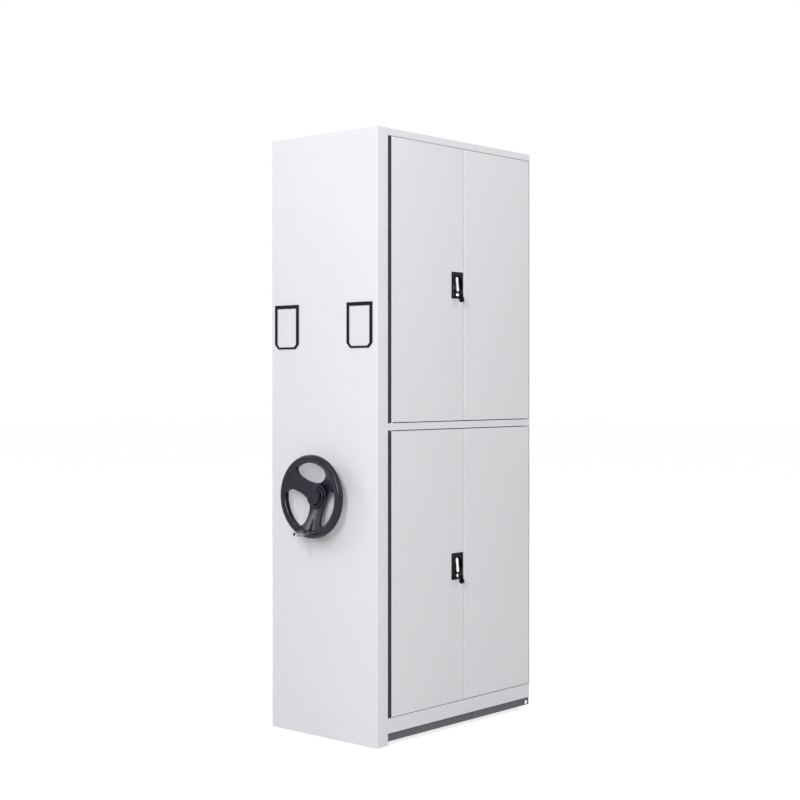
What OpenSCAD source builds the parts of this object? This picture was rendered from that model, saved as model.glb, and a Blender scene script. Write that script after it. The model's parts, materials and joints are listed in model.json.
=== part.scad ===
// Compact mobile shelving bay: a steel carcass on a wheeled chassis, moved by a handwheel.
// Millimetres. Y runs along the bay, X across it, and Z up from the running surface.
// Modules work in the body frame: x = 0 mid-depth, y = 0 at the face of the end panel.

/* [Overall] */
// Length of the bay, from the face of the end panel to the far end
unit_l = 940; // [860:1:1240]
// Depth of the bay
unit_d = 560; // [540:1:700]
// Height of the bay
unit_h = 2300; // [2150:1:2600]
// Thickness of the panel sheet
sheet_t = 1.5; // [1:0.1:2]

/* [End panel] */
// Depth of the hollow end panel
end_depth = 60; // [58:1:90]
// Height of the end panel's lower edge
end_lift = 5; // [3:0.5:9]
// Outer radius of the end panel's folded corners
end_bend_r = 6; // [3:0.5:12]
// Width of the end panel's inner lips
end_lip = 30; // [28:1:50]
// Width of a label holder
label_w = 130; // [80:1:160]
// Height of a label holder
label_h = 171; // [100:1:220]
// Height of the label holders' lower edge
label_z = 1483; // [1150:1:1700]
// Distance of a label holder from the panel's side
label_in = 22; // [12:1:60]
// Width of the label holder's bars
label_bar = 13.5; // [9:0.5:18]
// How far a label holder stands proud
label_t = 4; // [4:0.5:8]

/* [Base] */
// Height of the chassis underside
base_lift = 18; // [12:1:24]
// Height of the chassis top
base_top = 102.5; // [96:0.5:115]
// Thickness of the chassis plate
chassis_t = 3; // [2:0.5:4]
// Flange width of the chassis side channels
side_flange = 40; // [32:1:50]
// Flange width of the chassis cross members
cross_flange = 30; // [20:1:40]
// How far the chassis sides stand back from the doors' face
chassis_recess = 5; // [4:0.5:9]
// Height of the lower edge of the base rails
skirt_z = 49; // [30:1:70]

/* [Wheels] */
// Radius of a wheel over its flanges
wheel_r = 50; // [44:0.5:54]
// Depth of the running groove
groove_d = 8; // [4:0.5:10]
// Width of the running groove
groove_w = 22; // [16:0.5:26]
// Width of a wheel
wheel_w = 36; // [32:0.5:44]
// Distance between the two axle lines
axle_span = 344; // [300:1:380]
// Distance of the wheels from the ends of the chassis
wheel_inset = 140; // [110:1:200]
// Radius of the drive shaft and of the handwheel shaft
shaft_r = 10; // [9:0.1:11]

/* [Drive] */
// Nominal height of the handwheel; the chain's whole links set the last few millimetres
wheel_height = 922; // [800:1:1050]
// Pitch of the roller chain
chain_p = 12.7; // [12:0.1:13.5]
// Radius of a chain roller
roller_r = 4.25; // [3.9:0.05:4.4]
// Teeth of the handwheel sprocket
teeth_top = 11; // [11:1:13]
// Teeth of the shaft sprocket
teeth_low = 17; // [15:1:17]

/* [Handwheel] */
// Outer radius of the handwheel
hand_r = 159; // [140:1:180]
// Width of the rim, along the radius
rim_w = 30; // [24:1:34]
// Thickness of the rim
rim_t = 28; // [22:1:32]
// Distance of the rim's mid-plane from the panel
rim_out = 62; // [56:1:75]
// Radius of the hub boss
hub_r = 43; // [36:1:46]
// Length of the crank handle's grip
grip_l = 46; // [38:1:76]
// Largest radius of the crank handle's grip
grip_r = 12; // [9:0.5:14]

/* [Doors] */
// Thickness of a door
door_t = 18; // [16:0.5:20]
// Thickness of the door sheet
door_sheet = 1.2; // [1:0.1:1.5]
// Radius of the doors' upright edges
door_edge_r = 3; // [2:0.5:4]
// Width of the lips folded behind a door
door_lip = 20; // [14:1:26]
// Gap between the end panel and the doors, which holds the dust seal
seal_gap = 22; // [20:0.5:28]
// Gap between the doors and the far end panel
far_gap = 4; // [3.5:0.5:8]
// Gap between the two doors of a pair
mid_gap = 2.2; // [2:0.1:5]
// Height of the upper edge of the middle rail
mid_top = 1202; // [1050:1:1250]
// Height of the middle rail
mid_h = 26.5; // [24:0.5:40]
// Height of the top panel's folded edge
top_h = 26.5; // [26:0.5:45]
// Gap over the upper doors
gap_top = 2; // [2:0.1:4]
// Gap on each side of the middle rail
gap_mid = 3.5; // [2.5:0.1:5]
// Gap under the lower doors
gap_low = 3; // [2.5:0.1:5]
// Radius of a hinge pin
pin_r = 3; // [2.5:0.1:3.5]
// Distance of a hinge pin from the door's edge
pin_in = 8.5; // [8:0.1:9.5]

/* [Locks] */
// Width of a lock plate
lock_w = 70; // [69:1:76]
// Height of a lock plate
lock_h = 104; // [96:1:110]
// Distance of a lock plate from the door's free edge
lock_in = 6; // [4:0.5:12]
// Length of the turning lever
lever_l = 57; // [52:1:60]
// Radius of a locking rod
rod_r = 4; // [3:0.1:4.5]
// Travel of a locking rod
rod_travel = 12; // [8:0.5:13]
// How far a key stands proud of the doors
key_out = 34; // [30:1:40]

/* [Shelves] */
// Thickness of a shelf's folded edge
shelf_t = 25; // [20:1:30]
// Distance between the shelves
shelf_pitch = 350; // [300:50:350]
// Shelf levels above and below the middle one
levels_each = 2; // [1:1:2]
// Width of an upright across the bay
post_w = 40; // [32:1:50]
// Depth of an upright along the bay
post_d = 30; // [24:1:40]

/* [Hidden] */

$fn = 48;
white = [0.93, 0.93, 0.95];
dark_grey = [0.33, 0.33, 0.37];
black = [0.17, 0.17, 0.2];
zinc = [0.78, 0.79, 0.8];
steel = [0.62, 0.63, 0.65];
chrome = [0.88, 0.89, 0.9];
rubber = [0.22, 0.22, 0.24];

// Clearances: a keyed fit, a running fit, a loose fit, and the overshoot of a cutting tool
keyed = 0.02;
run = 0.05;
loose = 0.3;
cut = 1;

// Planes across the bay
x_face = unit_d / 2;
x_door_back = x_face - door_t;
x_door_mid = x_face - door_t / 2;
x_posts = x_door_back - 6;
x_back = -x_face + 4;
x_mid = (x_posts + x_back) / 2;
x_chassis = x_face - chassis_recess;
x_axle = axle_span / 2;

// Planes along the bay
y_side = end_depth + sheet_t;
far_t = 2;
y_far = unit_l - far_t;
y_door = end_depth + seal_gap;
door_w = (y_far - far_gap - y_door - mid_gap) / 2;
y_door_far = y_door + door_w + mid_gap;
y_wheels = [y_side + wheel_inset, unit_l - wheel_inset];
y_shelf = y_side + post_d + sheet_t;
shelf_l = y_far - post_d - sheet_t - y_shelf;

// Heights
z_base = base_top + sheet_t;
z_top = unit_h - top_h;
z_mid_low = mid_top - mid_h;
door_low = [z_base + gap_low, z_mid_low - gap_mid];
door_high = [mid_top + gap_mid, z_top - gap_top];
z_axle = wheel_r;

// Chain drive: whole links fix the distance between the sprockets
z_drive = 30;
sprocket_t = 7.2;
r_top = chain_p / 2 / sin(180 / teeth_top);
r_low = chain_p / 2 / sin(180 / teeth_low);
function wrap_half(c) = acos((r_top - r_low) / c);
function wrap_links(c) =
    (teeth_low * 2 * wrap_half(c) + teeth_top * (360 - 2 * wrap_half(c))) / 360;
function free_span(c) = sqrt(c * c - (r_low - r_top) * (r_low - r_top));
c_nominal = sqrt(x_axle * x_axle + (wheel_height - z_axle) * (wheel_height - z_axle));
links = 2 * round((wrap_links(c_nominal) + 2 * free_span(c_nominal) / chain_p) / 2);
function solve_c(c, steps) = steps == 0 ? c :
    let (span = chain_p * (links - wrap_links(c)) / 2)
    solve_c(sqrt(span * span + (r_low - r_top) * (r_low - r_top)), steps - 1);
c_chain = solve_c(c_nominal, 6);
z_hand = z_axle + sqrt(c_chain * c_chain - x_axle * x_axle);
chain_dir = atan2(z_axle - z_hand, x_axle);
half = wrap_half(c_chain);
span_links = free_span(c_chain) / chain_p;
low_links = teeth_low * 2 * half / 360;
top_links = links - low_links - 2 * span_links;
function polar(c, r, a) = [c[0] + r * cos(a), c[1] + r * sin(a)];
function between(p, q, t) = [p[0] + (q[0] - p[0]) * t, p[1] + (q[1] - p[1]) * t];
hub_at = [0, z_hand];
shaft_at = [x_axle, z_axle];
// Place of roller s on its way down one side, round the shaft and up again
function roller_at(s) =
    s < span_links
        ? between(polar(hub_at, r_top, chain_dir + half),
                  polar(shaft_at, r_low, chain_dir + half), s / span_links)
    : s < span_links + low_links
        ? polar(shaft_at, r_low, chain_dir + half - (s - span_links) * 360 / teeth_low)
    : s < 2 * span_links + low_links
        ? between(polar(shaft_at, r_low, chain_dir - half),
                  polar(hub_at, r_top, chain_dir - half),
                  (s - span_links - low_links) / span_links)
    : polar(hub_at, r_top,
            chain_dir - half - (s - 2 * span_links - low_links) * 360 / teeth_top);
phase_low = chain_dir + half + span_links * 360 / teeth_low;
phase_top = chain_dir - half + (2 * span_links + low_links) * 360 / teeth_top;

// Handwheel
boss_out = 45;
cap_out = boss_out + 11;
rim_front = rim_out + rim_t / 2;
crank_at = hand_r - 24;
crank_neck = 22;
crank_cap = 8;
crank_tip = rim_front + crank_neck + grip_l + crank_cap;

// Lock places
y_lock = y_door + door_w - lock_in - lock_w / 2;
function mid_of(span) = (span[0] + span[1]) / 2;
z_lock_high = mid_of(door_high) - 4;
z_lock_low = mid_of(door_low) - 4;
key_drop = lock_h / 2 - 15;
lock_proud = 1.5;
dish_depth = 8.5;
dish_floor = 2;
x_dish = x_face - dish_depth;
x_lock_back = x_dish - dish_floor;
yoke_t = 2;
gap_yoke = 0.3;
x_yoke_up = x_lock_back - gap_yoke - yoke_t;
x_cam = x_yoke_up - gap_yoke - yoke_t;
x_yoke_down = x_cam - gap_yoke - yoke_t;
x_rod = x_face - 12.5;
cam_pin_r = 2.5;
lever_shaft_r = 5;

// The row's origin is under the middle of the whole bounding box
shift_x = -key_out / 2;
shift_y = (crank_tip - unit_l) / 2;

module place() {
    translate([shift_x, shift_y, 0])
        children();
}

// A rectangle about its middle with true round corners
module rounded(w, h, r) {
    square([w - 2 * r, h], center = true);
    square([w, h - 2 * r], center = true);
    for (sx = [-1, 1], sy = [-1, 1])
        translate([sx * (w / 2 - r), sy * (h / 2 - r)])
            circle(r);
}

// A block given by its two corners
module block(low, high) {
    translate(low)
        cube(high - low);
}

// Turns a shape drawn flat so that its height runs out of the end panel
module from_panel(x, z) {
    translate([x, 0, z])
        rotate([90, 0, 0])
            children();
}

// A round bar along Y
module bar_y(x, z, r, y0, y1) {
    translate([x, y0, z])
        rotate([-90, 0, 0])
            cylinder(r = r, h = y1 - y0);
}

// A round bar along X
module bar_x(y, z, r, x0, x1) {
    translate([x0, y, z])
        rotate([0, 90, 0])
            cylinder(r = r, h = x1 - x0);
}

// Chassis

// Section of a side channel, its web outwards, seen along Y
module side_section() {
    x0 = x_chassis - side_flange;
    for (z = [base_lift, base_top - chassis_t])
        translate([x0, z])
            square([side_flange, chassis_t]);
    translate([x_chassis - chassis_t, base_lift])
        square([chassis_t, base_top - base_lift]);
}

module chassis_sides() {
    color(dark_grey)
        difference() {
            for (side = [0, 1])
                mirror([side, 0, 0])
                    translate([0, unit_l, 0])
                        rotate([90, 0, 0])
                            linear_extrude(unit_l - y_side)
                                side_section();
            // Way for the lower locking rod, and bolt holes
            translate([x_rod, y_lock, base_top - chassis_t - cut])
                cylinder(r = rod_r + 1, h = chassis_t + 2 * cut);
            for (side = [-1, 1])
                bar_x(y_bolt, z_bolt, bolt_r + loose,
                      side * x_chassis - 2 * chassis_t, side * x_chassis + 2 * chassis_t);
        }
}

// The bolts low down on the chassis sides, near the far end
y_bolt = unit_l - 27;
z_bolt = 31;
bolt_r = 5;
bolt_head = 6.4;
hex_r = bolt_r * 1.85;
nut_h = 8;

module chassis_bolts() {
    color(zinc)
        for (side = [0, 1])
            mirror([side, 0, 0]) {
                bar_x(y_bolt, z_bolt, bolt_r, x_chassis - chassis_t - nut_h - 6, x_chassis + 1);
                translate([x_chassis, y_bolt, z_bolt])
                    rotate([0, 90, 0])
                        cylinder(r = hex_r, h = bolt_head, $fn = 6);
                // Nut inside the channel
                translate([x_chassis - chassis_t - nut_h, y_bolt, z_bolt])
                    rotate([0, 90, 0])
                        cylinder(r = hex_r, h = nut_h, $fn = 6);
            }
}

member_x = x_chassis - chassis_t;
member_low = base_lift + chassis_t;
member_high = base_top - chassis_t;
member_flush = x_chassis - side_flange;
web_off = wheel_w / 2 + 16;

// A cross member whose web is at y and whose flanges point along dir; its top is flush
// with the side channels
module cross_member(y, dir) {
    w0 = dir > 0 ? y : y - chassis_t;
    f0 = dir > 0 ? y : y - cross_flange;
    block([-member_x, w0, member_low], [member_x, w0 + chassis_t, member_high]);
    block([-member_x, f0, member_low], [member_x, f0 + cross_flange, member_low + chassis_t]);
    block([-member_flush, f0, member_high], [member_flush, f0 + cross_flange, base_top]);
}

link_x = 400;
link_z = 40;
link_r = 5.5;
z_link = (base_lift + base_top) / 2;

module chassis_cross_members() {
    color(dark_grey)
        difference() {
            union() {
                cross_member(y_side, 1);
                cross_member(unit_l, -1);
                for (y = y_wheels) {
                    cross_member(y - web_off, -1);
                    cross_member(y + web_off, 1);
                }
            }
            // The drive shaft's way and the idler axles' holes
            bar_y(x_axle, z_axle, shaft_r + 4, 0, unit_l - cross_flange);
            bar_y(-x_axle, z_axle, shaft_r + loose, y_side + cross_flange, unit_l - cross_flange);
            for (y = concat([y_side], y_wheels), side = [-1, 1])
                bar_y(x_axle + side * bearing_bolt_at, z_axle, bearing_bolt_r + loose,
                      y - cut, y + web_off + 2 * chassis_t);
            // Link holes for the next bay
            for (x = [-1, 1], z = [-1, 1])
                bar_y(x * link_x / 2, z_link + z * link_z / 2, link_r,
                      unit_l - 2 * chassis_t, unit_l + cut);
            // Room for the nuts inside the side channels
            for (side = [0, 1])
                mirror([side, 0, 0])
                    block([member_x - nut_h - 7, y_bolt - hex_r - 2, member_low - cut],
                          [member_x + cut, y_bolt + hex_r + 2, member_low + chassis_t + cut]);
        }
}

// Wheels, axles and the drive shaft
bearing_bolt_at = 33;
bearing_bolt_r = 3;
bearing_t = 12;
bearing_foot = 4;

// Places a bearing drawn with its foot at y = 0 and its boss towards y > 0
module at_bearing(x, y, z, dir, turn) {
    translate([x, y, z])
        rotate([0, turn, 0])
            mirror([0, dir > 0 ? 0 : 1, 0])
                children();
}

// All bearings: three on the drive shaft and two in the end panel
module each_shaft_bearing() {
    for (y = concat([y_side], [for (w = y_wheels) w + web_off]))
        at_bearing(x_axle, y + chassis_t, z_axle, 1, 0)
            children();
}

module each_hub_bearing() {
    at_bearing(0, sheet_t, z_hand, 1, 90)
        children();
    at_bearing(0, end_depth, z_hand, -1, 90)
        children();
}

// A two-bolt flange bearing
module flange_bearing() {
    difference() {
        union() {
            bar_y(0, 0, 24, 0, bearing_foot);
            for (side = [-1, 1]) {
                bar_y(side * bearing_bolt_at, 0, 9, 0, bearing_foot);
                block([min(0, side * bearing_bolt_at), 0, -9],
                      [max(0, side * bearing_bolt_at), bearing_foot, 9]);
            }
            bar_y(0, 0, 20, 0, bearing_t);
        }
        bar_y(0, 0, shaft_r + run, -cut, bearing_t + cut);
        for (side = [-1, 1])
            bar_y(side * bearing_bolt_at, 0, bearing_bolt_r + loose, -cut, bearing_foot + cut);
    }
}

// The two bolts of a bearing: flat heads outside a wall, nuts on the bearing's foot
module bolt_pair(wall) {
    for (side = [-1, 1]) {
        bar_y(side * bearing_bolt_at, 0, 6.5, -wall - 2.5, -wall);
        bar_y(side * bearing_bolt_at, 0, bearing_bolt_r, -wall - 1, 11 - wall);
        translate([side * bearing_bolt_at, bearing_foot, 0])
            rotate([-90, 0, 0])
                cylinder(r = 5.8, h = 4, $fn = 6);
    }
}

module bearing_bolts() {
    color(zinc) {
        each_shaft_bearing()
            bolt_pair(chassis_t);
        each_hub_bearing()
            bolt_pair(sheet_t);
    }
}

module shaft_bearings() {
    color(steel)
        each_shaft_bearing()
            flange_bearing();
}

drive_end = y_wheels[1] + web_off + chassis_t + bearing_t + 6;

module drive_shaft() {
    color(steel)
        bar_y(x_axle, z_axle, shaft_r, z_drive - 12, drive_end);
}

// Section of a running wheel over its radius and half width
module wheel_section(bore) {
    groove_r = wheel_r - groove_d;
    polygon([
        [bore, -wheel_w / 2 - 4], [bore + 8, -wheel_w / 2 - 4], [bore + 8, -wheel_w / 2 + 6],
        [groove_r - 8, -wheel_w / 2 + 6], [groove_r - 5, -wheel_w / 2], [wheel_r, -wheel_w / 2],
        [wheel_r, -groove_w / 2 - 1.5], [wheel_r - 1.5, -groove_w / 2], [groove_r, -groove_w / 2],
        [groove_r, groove_w / 2], [wheel_r - 1.5, groove_w / 2], [wheel_r, groove_w / 2 + 1.5],
        [wheel_r, wheel_w / 2], [groove_r - 5, wheel_w / 2], [groove_r - 8, wheel_w / 2 - 6],
        [bore + 8, wheel_w / 2 - 6], [bore + 8, wheel_w / 2 + 4], [bore, wheel_w / 2 + 4]
    ]);
}

module running_wheel(x, y, bore) {
    translate([x, y, z_axle])
        rotate([90, 0, 0])
            rotate_extrude($fn = 72)
                wheel_section(bore);
}

module drive_wheels() {
    color(steel)
        for (y = y_wheels)
            running_wheel(x_axle, y, shaft_r + keyed);
}

module idler_wheel(i) {
    color(steel)
        running_wheel(-x_axle, y_wheels[i], shaft_r + run);
}

module idler_axles() {
    color(zinc)
        for (y = y_wheels) {
            bar_y(-x_axle, z_axle, shaft_r,
                  y - web_off - chassis_t - 4, y + web_off + chassis_t + 4);
            for (side = [0, 1])
                translate([-x_axle, y, z_axle])
                    mirror([0, side, 0])
                        translate([0, web_off + chassis_t, 0])
                            rotate([-90, 0, 0])
                                cylinder(r = 17, h = 8, $fn = 6);
            // Spacers that hold the wheel between the webs
            for (side = [0, 1])
                translate([-x_axle, y, z_axle])
                    mirror([0, side, 0])
                        translate([0, wheel_w / 2 + 4 + loose, 0])
                            rotate([-90, 0, 0])
                                cylinder(r = 14, h = web_off - wheel_w / 2 - 4 - loose);
        }
}

// Chain and sprockets

module sprocket_outline(teeth, pitch_r, phase) {
    tip_r = pitch_r + 0.21 * chain_p;
    seat_r = roller_r + 0.25;
    flare = 0.7;
    reach = tip_r - pitch_r + cut;
    rotate(phase)
        difference() {
            circle(tip_r, $fn = 96);
            for (i = [0 : teeth - 1])
                rotate(i * 360 / teeth)
                    translate([pitch_r, 0]) {
                        circle(seat_r, $fn = 32);
                        polygon([[0, -seat_r], [reach, -seat_r - flare * reach],
                                 [reach, seat_r + flare * reach], [0, seat_r]]);
                    }
        }
}

// A sprocket in the chain's plane with its hub towards the shelves
module sprocket(at, teeth, pitch_r, phase, boss_r, boss_l) {
    difference() {
        union() {
            translate([at[0], z_drive + sprocket_t / 2, at[1]])
                rotate([90, 0, 0])
                    linear_extrude(sprocket_t)
                        sprocket_outline(teeth, pitch_r, phase);
            bar_y(at[0], at[1], boss_r, z_drive - sprocket_t / 2, z_drive + sprocket_t / 2 + boss_l);
        }
        bar_y(at[0], at[1], shaft_r + keyed, 0, end_depth);
    }
}

module handwheel_sprocket() {
    color(steel)
        sprocket(hub_at, teeth_top, r_top, phase_top, 15, 9);
}

module shaft_sprocket() {
    color(steel)
        sprocket(shaft_at, teeth_low, r_low, phase_low, 22, 14);
}

plate_r = 5.6;
plate_t = 1.5;
inner_half = sprocket_t / 2 + loose;

module link_outline(l) {
    for (x = [0, l])
        translate([x, 0])
            circle(plate_r);
    translate([0, -plate_r * 0.8])
        square([l, plate_r * 1.6]);
}

// Two plates at a distance from the chain's middle plane, on both sides
module link_plates(l, off) {
    for (side = [0, 1])
        mirror([0, 0, side])
            translate([0, 0, off])
                linear_extrude(plate_t)
                    link_outline(l);
}

module inner_link(l) {
    difference() {
        union() {
            link_plates(l, inner_half);
            for (x = [0, l])
                translate([x, 0, -inner_half - 0.2])
                    cylinder(r = roller_r, h = 2 * inner_half + 0.4);
        }
        for (x = [0, l])
            translate([x, 0, -inner_half - plate_t - cut])
                cylinder(r = 2.1, h = 2 * (inner_half + plate_t + cut));
    }
}

module outer_link(l) {
    off = inner_half + plate_t + 0.2;
    link_plates(l, off);
    for (x = [0, l])
        translate([x, 0, -off - plate_t - 0.8])
            cylinder(r = 2, h = 2 * (off + plate_t + 0.8));
}

module drive_chain() {
    color(steel)
        for (i = [0 : links - 1]) {
            p = roller_at(i);
            q = roller_at((i + 1) % links);
            run_l = norm(q - p);
            translate([p[0], z_drive, p[1]])
                rotate([0, -atan2(q[1] - p[1], q[0] - p[0]), 0])
                    rotate([90, 0, 0])
                        if (i % 2 == 0) inner_link(run_l);
                        else outer_link(run_l);
        }
}

// End panel and the handwheel

// Outline of the folded panel seen from above, drawn in by a distance
module end_outline(in) {
    r = end_bend_r - in;
    hw = unit_d / 2 - in;
    translate([-hw, in + r])
        square([2 * hw, end_depth - in - r + (in > 0 ? cut : 0)]);
    translate([-hw + r, in])
        square([2 * (hw - r), r + cut]);
    for (side = [-1, 1])
        translate([side * (hw - r), in + r])
            circle(r);
}

// Holes for the handwheel shaft and for its bearings' bolts
module hub_holes(y0, y1) {
    bar_y(0, z_hand, shaft_r + 2, y0, y1);
    for (side = [-1, 1])
        bar_y(0, z_hand + side * bearing_bolt_at, bearing_bolt_r + loose, y0, y1);
}

module end_panel() {
    h = unit_h - end_lift;
    color(white)
        difference() {
            translate([0, 0, end_lift]) {
                linear_extrude(h)
                    difference() {
                        end_outline(0);
                        end_outline(sheet_t);
                    }
                // Back lips, top cover and the fold along the lower edge
                for (side = [0, 1])
                    mirror([side, 0, 0])
                        translate([x_face - sheet_t / 2 - end_lip, end_depth - sheet_t, 0])
                            cube([end_lip, sheet_t, h]);
                translate([0, 0, h - sheet_t])
                    linear_extrude(sheet_t)
                        end_outline(0);
                translate([-x_face + end_bend_r, sheet_t / 2, 0])
                    cube([unit_d - 2 * end_bend_r, 14, sheet_t]);
            }
            hub_holes(-cut, end_depth / 4);
        }
}

module side_plate() {
    color(white)
        difference() {
            block([x_back + 2, end_depth, base_top], [x_posts, y_side, unit_h - sheet_t]);
            hub_holes(end_depth - cut, y_side + cut);
        }
}

module hub_bearings() {
    color(steel)
        each_hub_bearing()
            flange_bearing();
}

module handwheel_shaft() {
    color(steel)
        bar_y(0, z_hand, shaft_r, -boss_out + 1, end_depth - 1);
}

// Section of the rim over its radius and its distance from the panel
module rim_section() {
    translate([hand_r - rim_w / 2, rim_out])
        rounded(rim_w, rim_t, 10);
    // Bead round the front of the rim's inner edge
    translate([hand_r - rim_w + 4, rim_front - 7])
        circle(4.5);
}

web_hub = 34;
web_rim = rim_out + 6;
web_t = 12;
rim_in = hand_r - rim_w;
opening_r = rim_in + 3;
// Step between an opening's arcs and its round corners, so that no two curves only touch
corner_step = 0.03;
// Each opening: its direction, its inner arc's share of the outer one, its distance from the boss
openings = [[0, 0.776, 8], [118, 0.69, 6], [-118, 0.69, 6]];

// Section of the dished web from the hub to the rim
module web_section() {
    polygon([
        [hub_r - 6, web_hub - web_t], [hub_r + 8, web_hub - web_t],
        [rim_in + 7, web_rim - web_t], [rim_in + 7, web_rim - 4], [rim_in - 3, web_rim],
        [hub_r + 8, web_hub], [hub_r - 6, web_hub + 2]
    ]);
}

// One opening between two spokes: two arcs with round corners, the outer one inside the rim
module spoke_opening(share, gap) {
    q = opening_r * share;
    rc = opening_r * 0.19;
    c = hub_r + gap + q;
    a = opening_r - rc;
    b = q - rc;
    ky = (a * a - b * b + c * c) / (2 * c);
    kx = sqrt(a * a - ky * ky);
    far = 2 * opening_r;
    difference() {
        intersection() {
            circle(opening_r, $fn = 96);
            translate([0, c])
                circle(q, $fn = 96);
        }
        for (side = [-1, 1])
            polygon([
                [side * kx, ky], [side * kx * far / a, ky * far / a],
                [side * kx + side * kx * far / b, ky + (ky - c) * far / b]
            ]);
    }
    for (side = [-1, 1])
        translate([side * kx, ky])
            circle(rc - corner_step);
}

module handwheel() {
    color(black)
        from_panel(0, z_hand)
            difference() {
                union() {
                    rotate_extrude($fn = 120)
                        rim_section();
                    difference() {
                        rotate_extrude($fn = 120)
                            web_section();
                        for (o = openings)
                            rotate(o[0])
                                translate([0, 0, -cut])
                                    linear_extrude(rim_out + rim_t)
                                        spoke_opening(o[1], o[2]);
                    }
                    // Hub boss, deeper behind the web than in front of it
                    rotate_extrude($fn = 96)
                        polygon([[shaft_r, 14], [26, 14], [30, web_hub - web_t],
                                 [hub_r, web_hub - web_t], [hub_r, boss_out - 3],
                                 [hub_r - 3, boss_out], [shaft_r, boss_out]]);
                    // Seat of the crank on the rim
                    translate([0, -crank_at, rim_out])
                        cylinder(r1 = 16, r2 = 11, h = rim_t / 2 + 3);
                }
                translate([0, -crank_at, rim_out - 6])
                    cylinder(r = crank_bolt_r + keyed, h = rim_t);
                translate([0, 0, -cut])
                    cylinder(r = shaft_r + keyed, h = 2 * boss_out);
            }
}

module hub_cap() {
    r = hub_r - 8.5;
    color(black)
        from_panel(0, z_hand)
            rotate_extrude($fn = 96)
                polygon([[0, boss_out], [r - 0.5, boss_out], [r, boss_out + 1], [r, cap_out - 4],
                         [r - 1.2, cap_out - 1.2], [r - 4, cap_out], [0, cap_out]]);
}

crank_bolt_r = 4;
grip_bore_r = crank_bolt_r + run;
seat_out = rim_front + 3;
grip_out = rim_front + crank_neck;

// Threaded stud in the rim, its bright neck, and the cap that holds the grip, with a
// recess for a plug
module crank_bolt() {
    cap_r = grip_r - 4;
    color(chrome)
        from_panel(0, z_hand - crank_at)
            difference() {
                union() {
                    translate([0, 0, rim_out - 6])
                        cylinder(r = crank_bolt_r, h = crank_tip - rim_out + 2);
                    translate([0, 0, seat_out])
                        cylinder(r1 = 7.5, r2 = 5.5, h = 4);
                    translate([0, 0, seat_out])
                        cylinder(r = 5.5, h = grip_out - seat_out - loose);
                    translate([0, 0, grip_out + grip_l + loose])
                        cylinder(r = cap_r, h = crank_cap - loose);
                }
                translate([0, 0, crank_tip - 2])
                    cylinder(r = cap_r - 1.6, h = 2 + cut);
            }
}

// Grip that turns on the stud, thickest near its inner end
module crank_grip() {
    color(zinc)
        from_panel(0, z_hand - crank_at)
            rotate_extrude($fn = 64)
                polygon([
                    [grip_bore_r, grip_out], [grip_r - 4.5, grip_out], [grip_r - 3, grip_out + 1.5],
                    [grip_r - 1, grip_out + grip_l * 0.12], [grip_r, grip_out + grip_l * 0.28],
                    [grip_r - 0.3, grip_out + grip_l * 0.42], [grip_r - 1.4, grip_out + grip_l * 0.62],
                    [grip_r - 2.9, grip_out + grip_l * 0.82], [grip_r - 4, grip_out + grip_l - 1],
                    [grip_r - 4.5, grip_out + grip_l], [grip_bore_r, grip_out + grip_l]
                ]);
}

// Label holders

// Outline of a label holder, its lower corners cut, drawn in from its sides and top and
// from its foot
module label_outline(in, foot) {
    w = label_w / 2 - in;
    high = label_h / 2 - in;
    low = foot - label_h / 2;
    c = label_cut - in / 2;
    polygon([[-w, high], [-w, low + c], [-w + c, low], [w - c, low], [w, low + c], [w, high]]);
}

module each_label() {
    for (side = [-1, 1])
        from_panel(side * (x_face - label_in - label_w / 2), label_z + label_h / 2)
            children();
}

card_t = 0.8;
window_t = 1;
label_foot = label_bar - 6;
label_cut = 18;

module label_frames() {
    color(black)
        each_label()
            difference() {
                linear_extrude(label_t)
                    label_outline(0, 0);
                translate([0, 0, -cut])
                    linear_extrude(label_t + 2 * cut)
                        label_outline(label_bar, label_foot);
                // Pocket behind the bars for the card and its window
                translate([0, 0, -cut])
                    linear_extrude(cut + card_t + window_t + 2 * loose)
                        label_outline(label_bar / 2, label_foot / 2);
            }
}

module label_cards() {
    color(white)
        each_label()
            linear_extrude(card_t)
                label_outline(label_bar / 2 + loose, label_foot / 2 + loose);
}

module label_windows() {
    color([0.9, 0.94, 0.96, 0.35])
        each_label()
            translate([0, 0, card_t + loose])
                linear_extrude(window_t)
                    label_outline(label_bar / 2 + loose, label_foot / 2 + loose);
}

// Carcass

post_xs = [x_posts - post_w, x_mid - post_w / 2, x_back];

slot_w = 12;
slot_h = 14;
slot_pitch = 50;
slots_below = floor((mid_top - z_base - 120) / slot_pitch);
slot_first = mid_top - shelf_t / 2 - slots_below * slot_pitch;
slot_count = floor((unit_h - slot_first - 60) / slot_pitch) + 1;

// A slotted channel standing on the chassis, its slotted face at y = 0, open towards y > 0
module upright() {
    h = unit_h - sheet_t - base_top;
    difference() {
        cube([post_w, post_d, h]);
        translate([sheet_t, sheet_t, -cut])
            cube([post_w - 2 * sheet_t, post_d, h + 2 * cut]);
        for (i = [0 : slot_count - 1])
            translate([(post_w - slot_w) / 2, -cut,
                       slot_first - base_top - slot_h / 2 + i * slot_pitch])
                cube([slot_w, sheet_t + 2 * cut, slot_h]);
    }
}

module uprights() {
    color(white)
        for (x = post_xs) {
            translate([x, y_side + post_d, base_top])
                mirror([0, 1, 0])
                    upright();
            translate([x, y_far - post_d, base_top])
                upright();
        }
}

module top_panel() {
    seam = 1;
    color(white)
        difference() {
            block([-x_face, end_depth + seam, z_top], [x_face, unit_l, unit_h]);
            block([-x_face + sheet_t, end_depth - cut, z_top - cut],
                  [x_face - sheet_t, unit_l - sheet_t, unit_h - sheet_t]);
        }
}

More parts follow.
